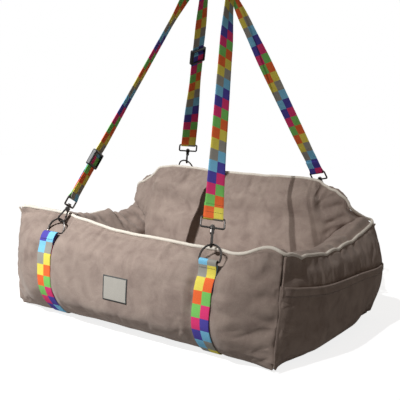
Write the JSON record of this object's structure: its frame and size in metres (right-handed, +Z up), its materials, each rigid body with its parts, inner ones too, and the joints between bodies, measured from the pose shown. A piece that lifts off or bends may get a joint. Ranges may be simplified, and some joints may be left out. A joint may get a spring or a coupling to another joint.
{
  "type": "pet bed",
  "caption": "Padded carry bed for a small dog: four stuffed walls round a loose seat cushion, hung from two shoulder straps with swivel hooks.",
  "frame": {"origin": "on the floor, on the flat underside of the base, midway between the side seams", "axes": "+Z up, the front with the bare patch faces -Y, +X is to the right of someone who looks at the front"},
  "size_m": [0.6988, 0.5306, 0.8268],
  "materials": {
    "taupe_velour": "short-pile velour",
    "base_cloth": "coarse non-slip cloth",
    "pale_piping": "woven cord cover",
    "printed_webbing": "woven check of seven colours",
    "label_weave": "bare woven patch with a dark edge",
    "gunmetal": "dark nickel plate, semi-bright",
    "slider_black": "satin black"
  },
  "bodies": {
    "bed": {"base_panel": "base_cloth", "front_bolster": "taupe_velour", "left_bolster": "taupe_velour", "right_bolster": "taupe_velour", "backrest": "taupe_velour", "side_pocket": "taupe_velour", "label_patch": "label_weave", "rim_piping": "pale_piping", "corner_piping_fl": "pale_piping", "corner_piping_fr": "pale_piping", "corner_piping_bl": "pale_piping", "corner_piping_br": "pale_piping", "wrap_left": "printed_webbing", "wrap_right": "printed_webbing"},
    "seat": {"seat_cushion": "taupe_velour"},
    "front_shoulder_strap": {"front_strap": "printed_webbing", "strap_eye_fl": "gunmetal", "strap_eye_fr": "gunmetal", "d_ring_fl": "gunmetal", "d_ring_fr": "gunmetal"},
    "rear_shoulder_strap": {"rear_strap": "printed_webbing", "strap_eye_bl": "gunmetal", "strap_eye_br": "gunmetal", "d_ring_bl": "gunmetal", "d_ring_br": "gunmetal"},
    "front_left_hook": {"hook_fl": "gunmetal"},
    "front_right_hook": {"hook_fr": "gunmetal"},
    "rear_left_hook": {"hook_bl": "gunmetal"},
    "rear_right_hook": {"hook_br": "gunmetal"},
    "front_left_gate": {"gate_fl": "gunmetal"},
    "front_right_gate": {"gate_fr": "gunmetal"},
    "rear_left_gate": {"gate_bl": "gunmetal"},
    "rear_right_gate": {"gate_br": "gunmetal"},
    "front_slider": {"slider_fl": "slider_black"},
    "rear_slider": {"slider_bl": "slider_black"}
  },
  "joints": [
    {"name": "seat_lift", "type": "slide", "parent": "bed", "child": "seat", "axis": [0, 0, 1], "range_m": [0, 0.25]},
    {"name": "front_strap_swing", "type": "hinge", "parent": "bed", "child": "front_shoulder_strap", "pos_m": [0, -0.258, 0.189], "axis": [1, 0, 0], "range_deg": [0, 125]},
    {"name": "rear_strap_swing", "type": "hinge", "parent": "bed", "child": "rear_shoulder_strap", "pos_m": [0.01, 0.24455, 0.28589], "axis": [-0.9931, -0.0506, 0.1061], "range_deg": [0, 150]},
    {"name": "front_left_swivel", "type": "hinge", "parent": "front_shoulder_strap", "child": "front_left_hook", "pos_m": [-0.197, -0.25415, 0.19714], "axis": [0.2321, 0.4157, 0.8794], "range_deg": [-5, 75]},
    {"name": "front_right_swivel", "type": "hinge", "parent": "front_shoulder_strap", "child": "front_right_hook", "pos_m": [0.197, -0.25415, 0.19714], "axis": [-0.2321, 0.4157, 0.8794], "range_deg": [-74, 6]},
    {"name": "rear_left_swivel", "type": "hinge", "parent": "rear_shoulder_strap", "child": "rear_left_hook", "pos_m": [-0.19594, 0.23015, 0.31607], "axis": [0.3313, -0.4062, 0.8516], "range_deg": [-74, 6]},
    {"name": "rear_right_swivel", "type": "hinge", "parent": "rear_shoulder_strap", "child": "rear_right_hook", "pos_m": [0.21806, 0.25125, 0.27184], "axis": [-0.3313, -0.4062, 0.8516], "range_deg": [-65, 15]},
    {"name": "front_left_gate_hinge", "type": "hinge", "parent": "front_left_hook", "child": "front_left_gate", "pos_m": [-0.1846, -0.2329, 0.23635], "axis": [-0.7968, 0.5998, -0.0732], "range_deg": [0, 25], "stiffness_Nm_per_rad": 0.02, "springref_deg": -8.59},
    {"name": "front_right_gate_hinge", "type": "hinge", "parent": "front_right_hook", "child": "front_right_gate", "pos_m": [0.18465, -0.23287, 0.23635], "axis": [-0.8064, -0.5878, 0.065], "range_deg": [0, 25], "stiffness_Nm_per_rad": 0.02, "springref_deg": -8.59},
    {"name": "rear_left_gate_hinge", "type": "hinge", "parent": "rear_left_hook", "child": "rear_left_gate", "pos_m": [-0.17905, 0.20938, 0.35384], "axis": [0.7822, 0.623, -0.0072], "range_deg": [0, 25], "stiffness_Nm_per_rad": 0.02, "springref_deg": -8.59},
    {"name": "rear_right_gate_hinge", "type": "hinge", "parent": "rear_right_hook", "child": "rear_right_gate", "pos_m": [0.20395, 0.22985, 0.31039], "axis": [0.8551, 0.2522, 0.453], "range_deg": [0, 25], "stiffness_Nm_per_rad": 0.02, "springref_deg": -8.59},
    {"name": "front_slider_slide", "type": "slide", "parent": "front_shoulder_strap", "child": "front_slider", "axis": [0.2321, 0.4157, 0.8794], "range_m": [-0.03, 0.03]},
    {"name": "rear_slider_slide", "type": "slide", "parent": "rear_shoulder_strap", "child": "rear_slider", "axis": [0.3313, -0.4062, 0.8516], "range_m": [-0.03, 0.03]}
  ]
}
